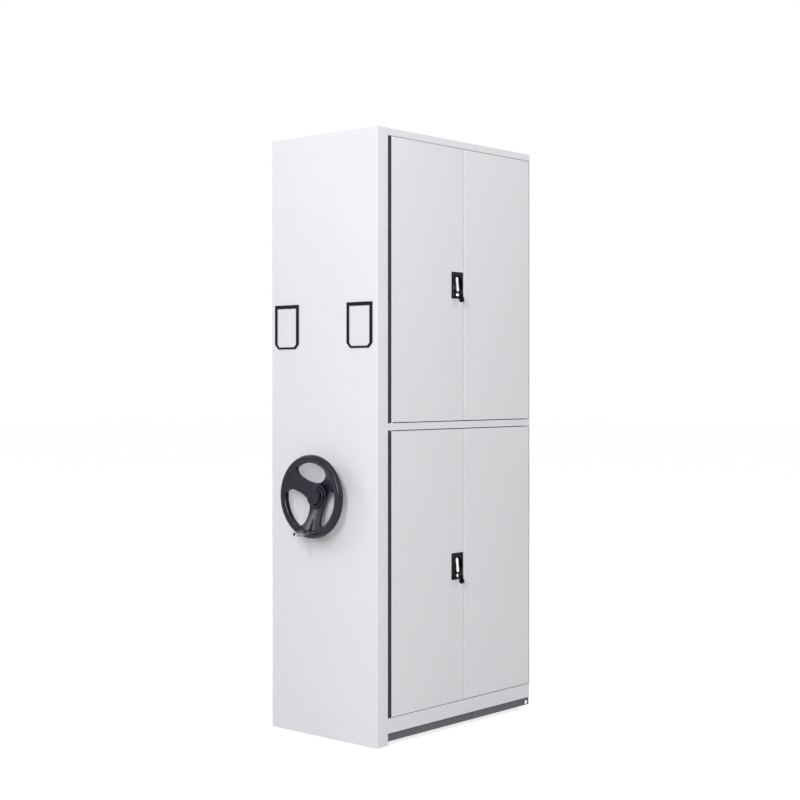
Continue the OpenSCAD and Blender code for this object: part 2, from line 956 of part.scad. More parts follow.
// Hole for a hinge pin and, on the near doors, the way of a locking rod
module rail_holes(z) {
    for (y = pin_ys)
        translate([x_door_mid, y, z - 5])
            cylinder(r = pin_r + run, h = 10);
    translate([x_rod, y_lock, z - 5])
        cylinder(r = rod_r + 1.5, h = 10);
}

pin_ys = [y_door + pin_in, y_far - far_gap - pin_in];

// Channel behind the top panel's edge that carries the upper pins
module top_rail() {
    x0 = x_posts + sheet_t;
    x1 = x_face - sheet_t - loose;
    y0 = end_depth + loose;
    y1 = y_far - loose;
    color(white)
        difference() {
            block([x_posts, y0, z_top], [x1, y1, unit_h - sheet_t]);
            block([x0, y0 - cut, z_top + sheet_t], [x1 - sheet_t, y1 + cut, unit_h]);
            // The outer wall is lower than the inner one
            block([x0, y0 - cut, z_top + top_h / 2], [x1 + cut, y1 + cut, unit_h]);
            rail_holes(z_top);
        }
}

module middle_rail() {
    y0 = end_depth + loose;
    y1 = y_far - loose;
    color(white)
        difference() {
            block([x_posts, y0, z_mid_low], [x_face, y1, mid_top]);
            block([x_posts - cut, y0 - cut, z_mid_low + sheet_t],
                  [x_face - sheet_t, y1 + cut, mid_top - sheet_t]);
            rail_holes(mid_top);
            rail_holes(z_mid_low);
        }
}

// Folded rail over the edge of the chassis, seen along Y
module base_section() {
    translate([x_face - sheet_t, skirt_z])
        square([sheet_t, z_base - skirt_z]);
    translate([x_posts + loose, base_top])
        square([x_face - x_posts - loose, sheet_t]);
    translate([x_chassis + loose, skirt_z])
        square([x_face - x_chassis - loose, sheet_t]);
}

module base_rails() {
    l = y_far - end_depth - loose;
    color(white)
        difference() {
            for (side = [0, 1])
                mirror([side, 0, 0])
                    translate([0, end_depth + loose + l, 0])
                        rotate([90, 0, 0])
                            linear_extrude(l)
                                base_section();
            rail_holes(base_top);
            // The hidden side's rail stops at its uprights, which stand further out
            block([x_back - loose, end_depth, base_top], [-x_posts, unit_l, z_base + cut]);
        }
}

module far_end_panel() {
    color(white)
        block([-x_face, y_far, z_base], [x_face, unit_l, z_top]);
}

divider_t = 1;

module divider_panel() {
    color(white)
        block([x_mid - divider_t / 2, y_side + post_d + loose, base_top],
              [x_mid + divider_t / 2, y_far - post_d - loose, unit_h - sheet_t - loose]);
}

// Shelves

level_tops = [for (k = [-levels_each : levels_each]) mid_top + k * shelf_pitch];
shelf_sheet = 1;
shelf_front = x_posts - 2;
shelf_back = x_back + 2;
shelf_spans = [[x_mid + divider_t / 2 + loose, shelf_front],
               [shelf_back, x_mid - divider_t / 2 - loose]];

// A folded steel shelf, open underneath, its top at z
module shelf(span, z) {
    y0 = y_shelf + loose;
    y1 = y_shelf + shelf_l - loose;
    s = shelf_sheet;
    difference() {
        block([span[0], y0, z - shelf_t], [span[1], y1, z]);
        block([span[0] + s, y0 + s, z - shelf_t - cut], [span[1] - s, y1 - s, z - s]);
    }
    // Lips turned in along both long edges
    for (x = [span[0], span[1] - 12])
        block([x, y0, z - shelf_t], [x + 12, y1, z - shelf_t + s]);
}

module shelves() {
    color(white)
        for (span = shelf_spans, z = concat([base_top + shelf_t], level_tops))
            shelf(span, z);
}

lug_w = slot_w - 2;
lug_t = 1.6;
lug_h = 4;
lug_drop = 6;

// An end bracket under a shelf: its plate lies against the uprights at y = 0 and its lug
// hangs on the lower edge of a slot
module shelf_bracket(span, post_x) {
    block([span[0], 0, -shelf_t - sheet_t], [span[1], sheet_t, -2]);
    block([span[0], 0, -shelf_t - sheet_t], [span[1], 16, -shelf_t]);
    x = post_x + (post_w - lug_w) / 2;
    z = -(shelf_t + slot_h) / 2;
    block([x, -sheet_t - loose - lug_t, z], [x + lug_w, sheet_t, z + lug_h]);
    block([x, -sheet_t - loose - lug_t, z - lug_drop], [x + lug_w, -sheet_t - loose, z + lug_h]);
}

module shelf_brackets() {
    hold_xs = [post_xs[0], post_xs[2]];
    color(white)
        for (side = [0, 1], z = level_tops) {
            translate([0, y_side + post_d, z])
                shelf_bracket(shelf_spans[side], hold_xs[side]);
            translate([0, y_far - post_d, z])
                mirror([0, 1, 0])
                    shelf_bracket(shelf_spans[side], hold_xs[side]);
        }
}

// Doors

// A hinge pin through a rail at z, its collar on the side that dir points to
module hinge_pin(y, z, dir) {
    translate([x_door_mid, y, z])
        mirror([0, 0, dir > 0 ? 0 : 1]) {
            translate([0, 0, -sheet_t])
                cylinder(r = pin_r, h = sheet_t + pin_l);
            cylinder(r = pin_r + 2.5, h = 1);
        }
}

pin_l = 14;
bush_l = 14;

module hinge_pins() {
    color(zinc)
        for (y = pin_ys) {
            hinge_pin(y, z_top, -1);
            hinge_pin(y, mid_top, 1);
            hinge_pin(y, z_mid_low, -1);
            hinge_pin(y, z_base, 1);
        }
}

catch_w = 40;
catch_h = 12;

// Magnetic catches that hold the far doors at their upper inner corners
module door_catches() {
    color(black)
        for (z = [z_top, z_mid_low])
            block([x_posts, y_door_far + 12, z - catch_h],
                  [x_door_back - loose, y_door_far + 12 + catch_w, z]);
}

// Dust seals that fill the gap beside the doors' hinges
module dust_seals() {
    y0 = end_depth + loose;
    y1 = y_door - 3.6;
    color(rubber)
        for (span = [door_low, door_high])
            translate([0, 0, span[0] + 1])
                linear_extrude(span[1] - span[0] - 2) {
                    translate([x_posts, y_side])
                        square([x_face - 11 - x_posts, y1 - y_side]);
                    translate([x_face - 12, (y0 + y1) / 2])
                        circle((y1 - y0) / 2);
                }
}

// The folded leaf of a door between y0 and y0 + door_w, over the heights in span
module door_leaf(y0, span, hinge_y, lock_z) {
    h = span[1] - span[0];
    s = door_sheet;
    color(white)
        difference() {
            union() {
                difference() {
                    translate([x_door_mid, y0 + door_w / 2, span[0]])
                        linear_extrude(h)
                            rounded(door_t, door_w, door_edge_r);
                    translate([x_door_mid, y0 + door_w / 2, span[0] + s])
                        linear_extrude(h - 2 * s)
                            rounded(door_t - 2 * s, door_w - 2 * s, door_edge_r - s);
                    block([x_door_back - cut, y0 + door_lip, span[0] + door_lip],
                          [x_door_back + s + cut, y0 + door_w - door_lip, span[1] - door_lip]);
                }
                // Bushes for the hinge pins
                for (z = [span[0], span[1] - bush_l - 1])
                    translate([x_door_mid, hinge_y, z])
                        cylinder(r = 6.5, h = bush_l + 1);
            }
            for (z = [span[0] - cut, span[1] - bush_l])
                translate([x_door_mid, hinge_y, z])
                    cylinder(r = pin_r + run, h = bush_l + cut);
            if (lock_z > 0) {
                block([x_face - s - cut, y_lock - lock_in_w / 2 - loose, lock_z - lock_in_h / 2 - loose],
                      [x_face + cut, y_lock + lock_in_w / 2 + loose, lock_z + lock_in_h / 2 + loose]);
                for (z = [span[0] - cut, span[1] - s - cut])
                    translate([x_rod, y_lock, z])
                        cylinder(r = rod_r + 0.6, h = s + 2 * cut);
            }
        }
}

module door_upper_near() {
    door_leaf(y_door, door_high, pin_ys[0], z_lock_high);
}

module door_upper_far() {
    door_leaf(y_door_far, door_high, pin_ys[1], 0);
}

module door_lower_near() {
    door_leaf(y_door, door_low, pin_ys[0], z_lock_low);
}

module door_lower_far() {
    door_leaf(y_door_far, door_low, pin_ys[1], 0);
}

// A hat channel bonded inside a door
module stiffener(y0, span) {
    s = 1;
    hat_w = 50;
    hat_d = 13;
    x1 = x_face - door_sheet;
    z0 = span[0] + door_sheet + loose;
    color(white)
        translate([0, y0 + door_w / 2, z0])
            linear_extrude(span[1] - door_sheet - loose - z0) {
                translate([x1 - hat_d, -hat_w / 2])
                    square([s, hat_w]);
                for (side = [0, 1])
                    mirror([0, side]) {
                        translate([x1 - hat_d, hat_w / 2 - s])
                            square([hat_d, s]);
                        translate([x1 - s, hat_w / 2 - s])
                            square([s, 16]);
                    }
            }
}

// Locks

lever_up = 4;
lock_in_w = lock_w - 4;
lock_in_h = lock_h - 4;
dish_r = lock_w / 2 - 2.5;
plug_r = 6;
lever_tilt = 7;

module lock_plate(z) {
    dish_top = dish_depth + lock_proud + cut;
    color(black)
        difference() {
            union() {
                translate([x_face, y_lock, z])
                    rotate([90, 0, 90])
                        linear_extrude(lock_proud)
                            rounded(lock_w, lock_h, 2);
                block([x_lock_back, y_lock - lock_in_w / 2, z - lock_in_h / 2],
                      [x_face + lock_proud / 2, y_lock + lock_in_w / 2, z + lock_in_h / 2]);
            }
            // Round dish in which the lever turns
            translate([x_dish, y_lock, z + lever_up])
                rotate([0, 90, 0])
                    rotate_extrude($fn = 72)
                        polygon([[0, 0], [dish_r - 1.5, 0], [dish_r, dish_top], [0, dish_top]]);
            bar_x(y_lock, z + lever_up, lever_shaft_r + run, x_lock_back - cut, x_face);
            bar_x(y_lock, z - key_drop, plug_r + run,
                  x_lock_back - cut, x_face + lock_proud + cut);
        }
}

// Outline of the lever, broad at both ends and narrower in the middle
module lever_outline() {
    end_r = 8;
    waist = 6;
    reach = lever_l / 2 - end_r;
    for (side = [-1, 1])
        translate([0, side * reach])
            circle(end_r);
    polygon([[-end_r, reach], [-waist, 0], [-end_r, -reach],
             [end_r, -reach], [waist, 0], [end_r, reach]]);
}

module lock_lever(z) {
    color(chrome) {
        translate([x_dish + loose, y_lock, z + lever_up])
            rotate([90, 0, 90])
                rotate(lever_tilt)
                    linear_extrude(dish_depth + lock_proud - loose)
                        lever_outline();
        bar_x(y_lock, z + lever_up, lever_shaft_r, x_cam + yoke_t, x_face);
    }
}

// Cam on the back of the lever, with a pin for each rod
module lock_cam(z) {
    color(zinc) {
        bar_x(y_lock, z + lever_up, rod_travel + 4, x_cam, x_cam + yoke_t);
        bar_x(y_lock + rod_travel, z + lever_up, cam_pin_r, x_cam, x_yoke_up + yoke_t);
        bar_x(y_lock - rod_travel, z + lever_up, cam_pin_r, x_yoke_down, x_cam + yoke_t);
    }
}

// How far a cam pin runs ahead of a rod that moves in proportion to the lever
pin_lead = 0.22 * rod_travel;
yoke_bar = 3;

// Flat yoke at the end of a rod; its slot leaves room for the pin's whole arc.
// Drawn for a rod that runs up; side is the pin's side at rest.
module yoke(x, side) {
    w0 = -cam_pin_r - loose;
    w1 = rod_travel + cam_pin_r + loose;
    low = -cam_pin_r - loose;
    high = cam_pin_r + pin_lead + loose;
    mirror([0, side > 0 ? 0 : 1, 0])
        difference() {
            union() {
                block([x, w0 - yoke_bar, low - yoke_bar], [x + yoke_t, w1 + yoke_bar, high + yoke_bar]);
                block([x, -rod_r, high], [x + yoke_t, rod_r, rod_foot + 8]);
            }
            block([x - cut, w0, low], [x + yoke_t + cut, w1, high]);
            // Clears the lever's shaft, which the rod moves past
            block([x - cut, w0 - yoke_bar - cut, low - yoke_bar - cut],
                  [x + yoke_t + cut, lever_shaft_r + loose, high]);
        }
}

rod_foot = lock_h / 2 + 2;

module rod_up(z, span) {
    color(zinc) {
        translate([0, y_lock, z + lever_up])
            yoke(x_yoke_up, 1);
        translate([x_rod, y_lock, z + lever_up + rod_foot])
            cylinder(r = rod_r, h = span[1] - 1 - z - lever_up - rod_foot);
    }
}

module rod_down(z, span) {
    foot = z + lever_up - rod_foot;
    color(zinc) {
        translate([0, y_lock, z + lever_up])
            mirror([0, 0, 1])
                yoke(x_yoke_down, -1);
        block([x_yoke_down, y_lock - rod_r, foot - 8], [x_rod, y_lock + rod_r, foot - 2]);
        translate([x_rod, y_lock, span[0] + 1])
            cylinder(r = rod_r, h = foot - 2 - span[0] - 1);
    }
}

// Guides that hold the rods to the door, halfway and near the door's ends
guide_inset = 60;

module rod_guides(z, span) {
    color(zinc)
        for (at = [(z + span[1]) / 2, span[1] - guide_inset, (z + span[0]) / 2, span[0] + guide_inset])
            difference() {
                block([x_rod - rod_r - 1.4, y_lock - 10, at - 8],
                      [x_face - door_sheet, y_lock + 10, at + 8]);
                translate([x_rod, y_lock, at - 8 - cut])
                    cylinder(r = rod_r + 0.1, h = 16 + 2 * cut);
            }
}

stem_out = 15;
fold_out = 22;
bow_r = 11;
bow_t = 7;

// Lock plug with the key's blade in it, up to the fold of the key; its back is clear of the rods
module key_stem(z) {
    zk = z - key_drop;
    color(chrome) {
        bar_x(y_lock, zk, plug_r, x_dish + 1, x_face + lock_proud + 1);
        block([x_face, y_lock - 1.2, zk - 3.5], [x_face + stem_out, y_lock + 1.2, zk + 3.5]);
        block([x_face + stem_out - 1, y_lock - 1.2, zk - 3], [x_face + fold_out, y_lock + 1.2, zk + 3]);
        translate([x_face + fold_out, y_lock - 1.2, zk])
            rotate([-90, 0, 0])
                cylinder(r = 3.5, h = 2.4);
    }
}

// Plastic bow that hangs from the fold of the key
module key_head(z) {
    zk = z - key_drop;
    xc = x_face + key_out - bow_r;
    color(black)
        difference() {
            union() {
                translate([xc, y_lock, zk - 19])
                    rotate([90, 0, 0])
                        cylinder(r = bow_r, h = bow_t, center = true);
                block([xc - 6, y_lock - bow_t / 2, zk - 19],
                      [xc + 5, y_lock + bow_t / 2, zk]);
                translate([x_face + fold_out, y_lock, zk])
                    rotate([90, 0, 0])
                        cylinder(r = 5.5, h = bow_t, center = true);
            }
            // Slot for the blade, wide enough for the whole fold
            block([x_face, y_lock - 1.2 - loose, zk - 10],
                  [x_face + fold_out + 7, y_lock + 1.2 + loose, zk + 7]);
        }
}

place() chassis_sides();
place() chassis_cross_members();
place() chassis_bolts();
place() bearing_bolts();
place() shaft_bearings();
place() idler_axles();
place() drive_shaft();
place() shaft_sprocket();
place() drive_wheels();
place() idler_wheel(0);  // idler_wheel_near
place() idler_wheel(1);  // idler_wheel_far
place() end_panel();
place() side_plate();
place() hub_bearings();
place() handwheel_shaft();
place() handwheel_sprocket();
place() handwheel();
place() hub_cap();
place() crank_bolt();
place() crank_grip();
place() drive_chain();
place() label_frames();
place() label_cards();
place() label_windows();
place() uprights();
place() top_panel();
place() top_rail();
place() middle_rail();
place() base_rails();
place() far_end_panel();
place() divider_panel();
place() shelves();
place() shelf_brackets();
place() hinge_pins();
place() door_catches();
place() dust_seals();
place() door_upper_near();
place() door_upper_far();
place() door_lower_near();
place() door_lower_far();
place() stiffener(y_door, door_high);  // stiffener_upper_near
place() stiffener(y_door_far, door_high);  // stiffener_upper_far
place() stiffener(y_door, door_low);  // stiffener_lower_near
place() stiffener(y_door_far, door_low);  // stiffener_lower_far
place() lock_plate(z_lock_high);  // lock_plate_upper
place() lock_lever(z_lock_high);  // lock_lever_upper
place() lock_cam(z_lock_high);  // lock_cam_upper
place() rod_up(z_lock_high, door_high);  // rod_up_upper
place() rod_down(z_lock_high, door_high);  // rod_down_upper
place() key_stem(z_lock_high);  // key_stem_upper
place() key_head(z_lock_high);  // key_head_upper
place() lock_plate(z_lock_low);  // lock_plate_lower
place() lock_lever(z_lock_low);  // lock_lever_lower
place() lock_cam(z_lock_low);  // lock_cam_lower
place() rod_up(z_lock_low, door_low);  // rod_up_lower
place() rod_down(z_lock_low, door_low);  // rod_down_lower
place() key_stem(z_lock_low);  // key_stem_lower
place() key_head(z_lock_low);  // key_head_lower
place() rod_guides(z_lock_high, door_high);  // rod_guides_upper
place() rod_guides(z_lock_low, door_low);  // rod_guides_lower
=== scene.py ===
"""Looks of the compact mobile shelving bay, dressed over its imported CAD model.

Metres, in the model's own frame: X across the bay with the doors towards +X, Y along it with the
handwheel towards -Y, Z up from the running surface.
"""

import json
import math

import bmesh
import bpy
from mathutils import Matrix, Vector


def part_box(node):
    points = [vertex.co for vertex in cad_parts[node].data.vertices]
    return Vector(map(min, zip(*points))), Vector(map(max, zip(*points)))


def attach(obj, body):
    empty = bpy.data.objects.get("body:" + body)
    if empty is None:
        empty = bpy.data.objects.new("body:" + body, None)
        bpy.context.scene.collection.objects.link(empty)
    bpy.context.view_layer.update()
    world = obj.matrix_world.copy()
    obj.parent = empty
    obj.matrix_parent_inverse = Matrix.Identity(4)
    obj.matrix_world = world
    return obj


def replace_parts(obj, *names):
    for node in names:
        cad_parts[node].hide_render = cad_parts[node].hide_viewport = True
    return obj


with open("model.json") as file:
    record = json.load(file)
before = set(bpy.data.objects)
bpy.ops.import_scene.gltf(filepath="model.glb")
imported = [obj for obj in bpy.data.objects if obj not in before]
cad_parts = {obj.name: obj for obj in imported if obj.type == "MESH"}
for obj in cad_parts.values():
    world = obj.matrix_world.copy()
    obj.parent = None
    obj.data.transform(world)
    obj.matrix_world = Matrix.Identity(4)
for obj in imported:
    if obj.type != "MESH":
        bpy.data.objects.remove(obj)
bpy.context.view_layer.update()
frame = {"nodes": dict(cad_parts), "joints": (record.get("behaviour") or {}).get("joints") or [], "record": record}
cad = frame["nodes"]
joints = {joint["name"]: joint for joint in frame["joints"]}
LEVELS = ("upper", "lower")


# Material tools


class Shader:
    """A node material that is built up by short calls."""

    def __init__(self, name):
        self.mat = bpy.data.materials.new(name)
        self.mat.use_nodes = True
        self.tree = self.mat.node_tree
        self.tree.nodes.clear()
        self.out = self.add("ShaderNodeOutputMaterial")
        self.coords = self.add("ShaderNodeTexCoord").outputs["Object"]

    def add(self, kind, **settings):
        made = self.tree.nodes.new(kind)
        for key, value in settings.items():
            setattr(made, key, value)
        return made

    def link(self, source, target):
        self.tree.links.new(source, target)

    def principled(self, **sockets):
        made = self.add("ShaderNodeBsdfPrincipled")
        for key, value in sockets.items():
            made.inputs[key.replace("_", " ")].default_value = value
        return made

    def stretched(self, scale):
        """Object coordinates scaled by a triple, for textures that run along one direction."""
        made = self.add("ShaderNodeMapping")
        made.inputs["Scale"].default_value = scale
        self.link(self.coords, made.inputs["Vector"])
        return made.outputs["Vector"]

    def noise(self, scale, detail=2.0, rough=0.5, vector=None):
        made = self.add("ShaderNodeTexNoise")
        made.inputs["Scale"].default_value = scale
        made.inputs["Detail"].default_value = detail
        made.inputs["Roughness"].default_value = rough
        self.link(vector or self.coords, made.inputs["Vector"])
        return made.outputs["Fac"]

    def cells(self, scale):
        made = self.add("ShaderNodeTexVoronoi")
        made.inputs["Scale"].default_value = scale
        self.link(self.coords, made.inputs["Vector"])
        return made.outputs["Distance"]

    def height(self):
        """How high a point stands over the running surface."""
        made = self.add("ShaderNodeSeparateXYZ")
        self.link(self.coords, made.inputs["Vector"])
        return made.outputs["Z"]

    def sum(self, a, b, share):
        """a plus a share of b."""
        made = self.add("ShaderNodeMath", operation="MULTIPLY_ADD")
        made.inputs[1].default_value = share
        self.link(b, made.inputs[0])
        self.link(a, made.inputs[2])
        return made.outputs["Value"]

    def span(self, value, low, high, start=0.3, end=0.7):
        """Maps start..end of a value to low..high."""
        made = self.add("ShaderNodeMapRange")
        made.inputs["From Min"].default_value = start
        made.inputs["From Max"].default_value = end
        made.inputs["To Min"].default_value = low
        made.inputs["To Max"].default_value = high
        self.link(value, made.inputs["Value"])
        return made.outputs["Result"]

    def between(self, value, a, b):
        """A colour between a and b, where a is a colour or what other nodes made of one."""
        made = self.add("ShaderNodeMix", data_type="RGBA")
        made.inputs["B"].default_value = (*b, 1)
        self.link(value, made.inputs["Factor"])
        if isinstance(a, tuple):
            made.inputs["A"].default_value = (*a, 1)
        else:
            self.link(a, made.inputs["A"])
        return made.outputs["Result"]

    def bump(self, height, distance, strength, normal=None):
        made = self.add("ShaderNodeBump")
        made.inputs["Strength"].default_value = strength
        made.inputs["Distance"].default_value = distance
        self.link(height, made.inputs["Height"])
        if normal is not None:
            self.link(normal, made.inputs["Normal"])
        return made.outputs["Normal"]

    def done(self, surface):
        self.link(surface.outputs[0], self.out.inputs["Surface"])
        return self.mat


def scaled(rgb, factor):
    """A colour made lighter or darker."""
    return tuple(min(1.0, c * factor) for c in rgb)


def powder_coat(name, rgb, roughness, peel, spread=0.02, dust=0.0):
    """Sprayed powder: faint orange peel, a fine grain, slow shifts of tone and gloss, and dust low down."""
    look = Shader(name)
    surface = look.principled(IOR=1.5)
    tone = look.span(look.noise(scale=1.7, detail=3.0, rough=0.55), 0.0, 1.0)
    colour = look.between(tone, scaled(rgb, 1 - spread), rgb)
    gloss_shift = 0.035
    cloud = look.noise(scale=9.0, detail=4.0, rough=0.6)
    gloss = look.span(cloud, roughness - gloss_shift, roughness + gloss_shift)
    if dust:
        dust_colour = (0.32, 0.31, 0.3)
        patches = look.noise(scale=28.0, detail=4.0, rough=0.6)
        settled = look.sum(look.height(), patches, share=0.05)
        amount = look.span(settled, dust, 0.0, start=0.03, end=0.12)
        colour = look.between(amount, colour, dust_colour)
    look.link(colour, surface.inputs["Base Color"])
    look.link(gloss, surface.inputs["Roughness"])
    peel_depth, grain_depth = 0.00012, 0.00003
    orange = look.bump(look.noise(scale=330.0), peel_depth, peel)
    grained = look.bump(look.noise(scale=1500.0, detail=1.0), grain_depth, peel, orange)
    look.link(grained, surface.inputs["Normal"])
    return look.done(surface)


def moulded(name, rgb, roughness, grain, depth, worn, gloss):
    """Moulded plastic: fine pebble grain, rubbed smoother in patches."""
    look = Shader(name)
    surface = look.principled(IOR=1.49, Specular_IOR_Level=gloss)
    tone = look.span(look.noise(scale=14.0, detail=4.0, rough=0.6), 0.0, 1.0)
    look.link(look.between(tone, rgb, scaled(rgb, 1.25)), surface.inputs["Base Color"])
    duller = 0.03
    patches = look.noise(scale=22.0, detail=3.0, rough=0.6)
    rubbed = look.span(patches, roughness - worn, roughness + duller, start=0.35, end=0.6)
    look.link(rubbed, surface.inputs["Roughness"])
    look.link(look.bump(look.cells(grain), depth, strength=0.6), surface.inputs["Normal"])
    return look.done(surface)


def metal(name, rgb, roughness, scratch, depth, spread=0.12, along=(1, 1, 1), grime=0.0):
    """Bare or plated metal with fine marks, which may run along one direction, and grime in patches."""
    look = Shader(name)
    surface = look.principled(Metallic=1.0)
    lines = look.noise(scratch, detail=3.0, rough=0.65, vector=look.stretched(along))
    colour = look.between(look.span(lines, 0.0, 1.0), scaled(rgb, 1 - spread), rgb)
    cloud = look.noise(scale=35.0, detail=3.0, rough=0.6)
    if grime:
        grime_colour = (0.05, 0.045, 0.04)
        colour = look.between(look.span(cloud, 0.0, grime, start=0.45, end=0.7), colour, grime_colour)
    look.link(colour, surface.inputs["Base Color"])
    look.link(look.span(cloud, roughness * 0.8, roughness * 1.2), surface.inputs["Roughness"])
    look.link(look.bump(lines, depth, strength=0.5), surface.inputs["Normal"])
    return look.done(surface)


def rubber(name, rgb):
    """Extruded rubber with fine lines along its length."""
    look = Shader(name)
    surface = look.principled(Roughness=0.7, IOR=1.5, Specular_IOR_Level=0.2)
    tone = look.span(look.noise(scale=60.0, detail=3.0), 0.0, 1.0)
    look.link(look.between(tone, rgb, scaled(rgb, 1.4)), surface.inputs["Base Color"])
    upright = look.stretched((1, 1, 0.02))
    lines = look.noise(scale=700.0, vector=upright)
    look.link(look.bump(lines, distance=0.00008, strength=0.8), surface.inputs["Normal"])
    return look.done(surface)


def paper(name, rgb):
    """Card stock with its fibres."""
    look = Shader(name)
    surface = look.principled(Roughness=0.8, IOR=1.45)
    fibres = look.noise(scale=900.0, detail=3.0, rough=0.6)
    tone = look.span(fibres, 0.0, 1.0)
    look.link(look.between(tone, scaled(rgb, 0.97), rgb), surface.inputs["Base Color"])
    look.link(look.bump(fibres, distance=0.00003, strength=0.5), surface.inputs["Normal"])
    return look.done(surface)


def clear_sheet(name):
    """Thin clear sheet over the cards, with the faintest handling marks."""
    look = Shader(name)
    surface = look.principled(IOR=1.4, Alpha=0.12)
    surface.inputs["Base Color"].default_value = (0.95, 0.97, 0.98, 1)
    marks = look.noise(scale=40.0, detail=3.0, rough=0.6)
    look.link(look.span(marks, 0.08, 0.2), surface.inputs["Roughness"])
    return look.done(surface)


# Each finish: (what makes it, its settings), under the record's name of its material slot
FINISHES = {
    "white_paint": (powder_coat, dict(rgb=(0.80, 0.80, 0.83), roughness=0.42, peel=0.22)),
    "frame_paint": (powder_coat, dict(rgb=(0.77, 0.77, 0.797), roughness=0.46, peel=0.3)),
    "chassis_paint": (powder_coat, dict(
        rgb=(0.041, 0.040, 0.062), roughness=0.5, peel=0.4, spread=0.15, dust=0.25)),
    "handwheel_black": (moulded, dict(
        rgb=(0.0045, 0.0036, 0.013), roughness=0.2, grain=1400.0, depth=0.000003, worn=0.04, gloss=0.36)),
    "grip_metal": (metal, dict(
        rgb=(0.36, 0.36, 0.38), roughness=0.3, scratch=300.0, depth=0.000003, spread=0.04)),
    "black_plastic": (moulded, dict(
        rgb=(0.003, 0.003, 0.006), roughness=0.36, grain=1600.0, depth=0.00003, worn=0.04, gloss=0.13)),
    "bright_chrome": (metal, dict(
        rgb=(0.88, 0.89, 0.91), roughness=0.10, scratch=260.0, depth=0.000003, spread=0.03)),
    "zinc_plate": (metal, dict(rgb=(0.72, 0.73, 0.75), roughness=0.28, scratch=420.0, depth=0.00001)),
    "machined_steel": (metal, dict(
        rgb=(0.5, 0.51, 0.53), roughness=0.3, scratch=900.0, depth=0.00001, spread=0.15, along=(1, 0.05, 1))),
    "chain_steel": (metal, dict(
        rgb=(0.26, 0.25, 0.24), roughness=0.36, scratch=500.0, depth=0.00001, spread=0.3, grime=0.6)),
    "cast_wheel": (metal, dict(
        rgb=(0.33, 0.33, 0.34), roughness=0.45, scratch=300.0, depth=0.00006, spread=0.3, grime=0.4)),
    "seal_rubber": (rubber, dict(rgb=(0.032, 0.035, 0.036))),
    "card": (paper, dict(rgb=(0.80, 0.80, 0.82))),
    "clear_window": (clear_sheet, {}),
}
finish = {name: make(name, **settings) for name, (make, settings) in FINISHES.items()}

slot_of = {part["node"]: part["material_slot"] for part in frame["record"]["subparts"]}
for name, obj in cad.items():
    obj.data.materials.clear()
    obj.data.materials.append(finish[slot_of[name]])


# Mesh tools

SHARP_ANGLE = math.radians(40)
BEVEL_ANGLE = math.radians(35)
FLAT_ANGLE = math.radians(0.5)
WELD_WITHIN = 0.00001


def shown(name, mesh, slot, body):
    """A piece made of a mesh, in one finish, that rides on a body."""
    for face in mesh.polygons:
        face.use_smooth = True
    mesh.materials.clear()
    mesh.materials.append(finish[slot])
    obj = bpy.data.objects.new(name, mesh)
    bpy.context.scene.collection.objects.link(obj)
    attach(obj, body)
    return obj


def revolved(bm, profile, at, axis):
    """Adds a solid of revolution. The profile lists (radius, height) along the axis, from pole to pole."""
    turn = Vector(axis).to_track_quat("Z", "Y").to_matrix()
    foot = Vector(at)
    steps = 48
    rings = []
    for r, h in profile:
        if r == 0:
            rings.append([bm.verts.new(foot + turn @ Vector((0, 0, h)))])
            continue
        ring = []
        for k in range(steps):
            a = 2 * math.pi * k / steps
            ring.append(bm.verts.new(foot + turn @ Vector((r * math.cos(a), r * math.sin(a), h))))
        rings.append(ring)
    for low, high in zip(rings, rings[1:]):
        for k in range(steps):
            corners = [low[k % len(low)], low[(k + 1) % len(low)],
                       high[(k + 1) % len(high)], high[k % len(high)]]
            bm.faces.new(dict.fromkeys(corners))


def prism(bm, outline, low, high):
    """Adds an upright prism over an outline of (x, y) points, from the height low to high."""
    bottom = [bm.verts.new((x, y, low)) for x, y in outline]
    top = [bm.verts.new((x, y, high)) for x, y in outline]
    count = len(outline)
    for k in range(count):
        bm.faces.new((bottom[k], bottom[(k + 1) % count], top[(k + 1) % count], top[k]))
    bm.faces.new(top)
    bm.faces.new(reversed(bottom))


def finished(name, bm):
    """The mesh of a bmesh, its faces turned outwards and its sharp edges kept."""
    bmesh.ops.recalc_face_normals(bm, faces=bm.faces)
    mesh = bpy.data.meshes.new(name)
    bm.to_mesh(mesh)
    bm.free()
    mesh.set_sharp_from_angle(angle=SHARP_ANGLE)
    return mesh


def baked(obj, name):
    """A copy of an object's mesh with its modifiers applied; the object goes."""
    graph = bpy.context.evaluated_depsgraph_get()
    mesh = bpy.data.meshes.new_from_object(obj.evaluated_get(graph))
    mesh.name = name
    bpy.data.objects.remove(obj)
    return mesh


def softened(names, width):
    """Breaks the sharp edges of CAD nodes as paint or plating does; their points and faces stay."""
    for name in names:
        obj = cad[name]
        for face in obj.data.polygons:
            face.use_smooth = True
        if "custom_normal" in obj.data.attributes:
            obj.data.attributes.remove(obj.data.attributes["custom_normal"])
        weld = obj.modifiers.new("weld", "WELD")
        weld.merge_threshold = WELD_WITHIN
        flat = obj.modifiers.new("flat", "DECIMATE")
        flat.decimate_type = "DISSOLVE"
        flat.angle_limit = FLAT_ANGLE
        bevel = obj.modifiers.new("edges", "BEVEL")
        bevel.width = width
        bevel.segments = 2
        bevel.limit_method = "ANGLE"
        bevel.angle_limit = BEVEL_ANGLE
        bevel.harden_normals = True


